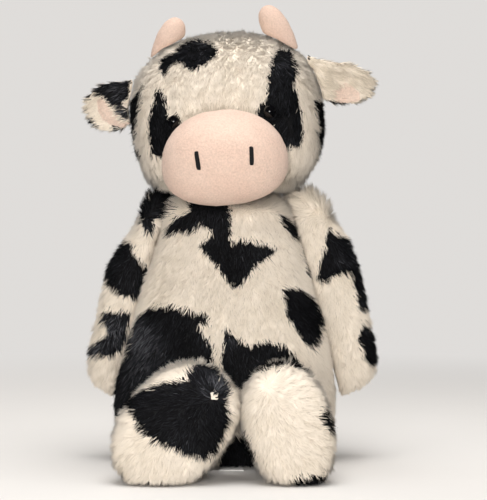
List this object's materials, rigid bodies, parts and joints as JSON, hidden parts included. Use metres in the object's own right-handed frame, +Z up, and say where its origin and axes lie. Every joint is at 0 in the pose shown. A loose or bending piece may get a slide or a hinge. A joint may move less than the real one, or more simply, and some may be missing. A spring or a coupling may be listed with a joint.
{
  "type": "plush cow",
  "caption": "Sitting plush cow with a large drooping head, hanging arms and forward legs, pellet weighted so that it sits by itself.",
  "frame": {"origin": "centre of the seat, on the surface that the cow sits on", "axes": "+Z up; the cow faces -Y and its own left side is at +X"},
  "size_m": [0.2599, 0.2492, 0.4005],
  "materials": {
    "plush_cream": "long pile",
    "velour_peach": "short pile",
    "stuffing": "loose fibre",
    "pellets": "woven bag",
    "bead": "gloss",
    "washer": "satin",
    "black_thread": "satin stitch",
    "cream_thread": "matt",
    "ribbon": "satin"
  },
  "bodies": {
    "torso": {"body_skin": "plush_cream", "body_filling": "stuffing", "pellet_bag": "pellets", "blank_tag": "ribbon"},
    "neck": {"neck_plug": "stuffing"},
    "neck_thread": {"neck_seam": "cream_thread"},
    "head": {"head_skin": "plush_cream", "head_filling": "stuffing", "muzzle_skin": "velour_peach", "muzzle_filling": "stuffing", "horn_skin_left": "velour_peach", "horn_filling_left": "stuffing", "eye_left": "bead", "eye_washer_left": "washer", "nostril_stitch_left": "black_thread", "horn_skin_right": "velour_peach", "horn_filling_right": "stuffing", "eye_right": "bead", "eye_washer_right": "washer", "nostril_stitch_right": "black_thread"},
    "tail": {"tail_cord": "plush_cream", "tail_tuft": "plush_cream"},
    "ear_left": {"ear_back_left": "plush_cream", "ear_lining_left": "velour_peach"},
    "arm_left": {"arm_skin_left": "plush_cream", "arm_filling_left": "stuffing"},
    "leg_left": {"leg_skin_left": "plush_cream", "sole_left": "plush_cream", "leg_filling_left": "stuffing", "foot_pellets_left": "pellets"},
    "ear_right": {"ear_back_right": "plush_cream", "ear_lining_right": "velour_peach"},
    "arm_right": {"arm_skin_right": "plush_cream", "arm_filling_right": "stuffing"},
    "leg_right": {"leg_skin_right": "plush_cream", "sole_right": "plush_cream", "leg_filling_right": "stuffing", "foot_pellets_right": "pellets"}
  },
  "joints": [
    {"name": "neck_turn", "type": "hinge", "parent": "torso", "child": "neck", "pos_m": [0, 0.006, 0.243], "axis": [0, 0, 1], "range_deg": [-35, 35], "stiffness_Nm_per_rad": 0.25},
    {"name": "neck_tilt", "type": "hinge", "parent": "neck", "child": "neck_thread", "pos_m": [0, 0.006, 0.243], "axis": [0, 1, 0], "range_deg": [-6, 6], "stiffness_Nm_per_rad": 1.5},
    {"name": "head_nod", "type": "hinge", "parent": "neck_thread", "child": "head", "pos_m": [0, 0.006, 0.243], "axis": [-1, 0, 0], "range_deg": [0, 18], "stiffness_Nm_per_rad": 0.4},
    {"name": "ear_bend_left", "type": "hinge", "parent": "head", "child": "ear_left", "pos_m": [0.07945, -0.03238, 0.33947], "axis": [-0.4042, -0.2334, 0.8844], "range_deg": [-20, 8], "stiffness_Nm_per_rad": 0.08},
    {"name": "ear_bend_right", "type": "hinge", "parent": "head", "child": "ear_right", "pos_m": [-0.08626, -0.02249, 0.31875], "axis": [-0.1217, 0.2779, -0.9529], "range_deg": [-20, 8], "stiffness_Nm_per_rad": 0.08},
    {"name": "shoulder_left", "type": "hinge", "parent": "torso", "child": "arm_left", "pos_m": [0.05818, 0, 0.222], "axis": [-0.9659, 0, -0.2588], "range_deg": [-25, 60], "stiffness_Nm_per_rad": 0.05},
    {"name": "shoulder_right", "type": "hinge", "parent": "torso", "child": "arm_right", "pos_m": [-0.05518, 0, 0.222], "axis": [-0.9659, 0, 0.2588], "range_deg": [-25, 60], "stiffness_Nm_per_rad": 0.05},
    {"name": "hip_left", "type": "hinge", "parent": "torso", "child": "leg_left", "pos_m": [0.046, -0.064, 0.036], "axis": [1, 0, 0], "range_deg": [-14, 20], "stiffness_Nm_per_rad": 0.3},
    {"name": "hip_right", "type": "hinge", "parent": "torso", "child": "leg_right", "pos_m": [-0.046, -0.064, 0.036], "axis": [1, 0, 0], "range_deg": [-14, 20], "stiffness_Nm_per_rad": 0.3},
    {"name": "tail_lift", "type": "hinge", "parent": "torso", "child": "tail", "pos_m": [0, 0.0738, 0.092], "axis": [1, 0, 0], "range_deg": [0, 70], "stiffness_Nm_per_rad": 0.01}
  ]
}
